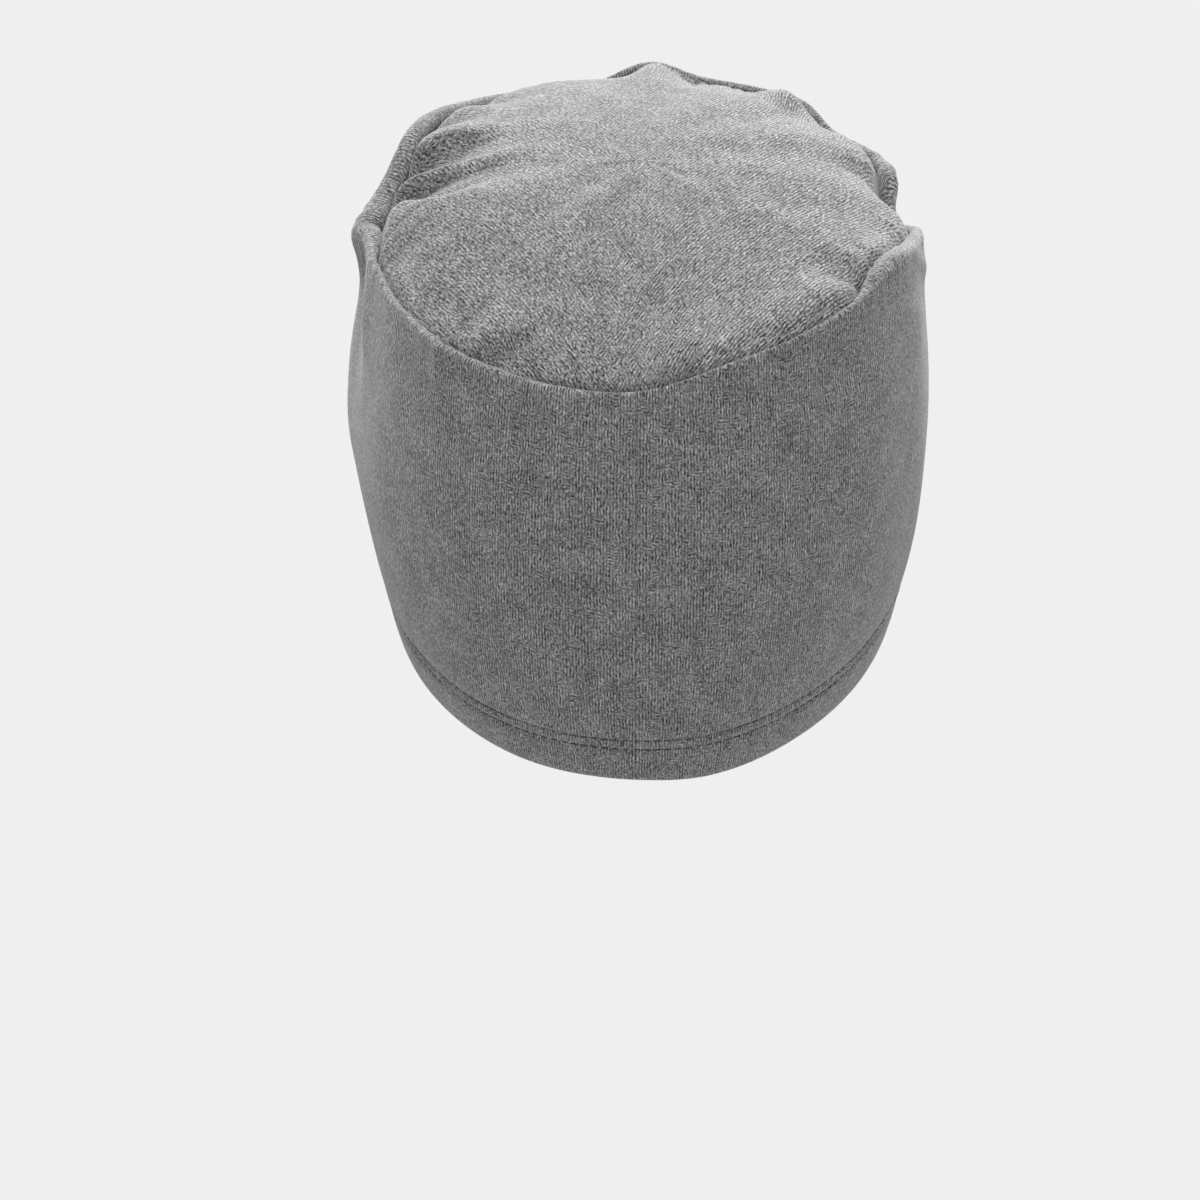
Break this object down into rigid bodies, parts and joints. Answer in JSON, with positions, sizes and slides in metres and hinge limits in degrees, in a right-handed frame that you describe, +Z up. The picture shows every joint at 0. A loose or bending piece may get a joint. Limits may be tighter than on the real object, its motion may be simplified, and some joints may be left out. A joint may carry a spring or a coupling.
{
  "type": "chemo sleep cap",
  "caption": "Soft heathered jersey sleep cap: a tall side panel with a turned-up hem and a gathered crown panel, open below for the head.",
  "frame": {"origin": "where the top of the head touches the underside of the crown panel, at the middle of the cap", "axes": "+Z up out of the crown, -Y towards the forehead, +Y towards the nape, +X towards the wearer's left"},
  "size_m": [0.168, 0.1993, 0.1611],
  "materials": {
    "side_jersey": "matt heathered grey fine jersey, ribs running up the panel",
    "crown_jersey": "matt heathered grey fine jersey, ribs running slantwise over the crown"
  },
  "bodies": {
    "root": {"side_panel": "side_jersey", "crown_panel": "crown_jersey"}
  },
  "joints": []
}
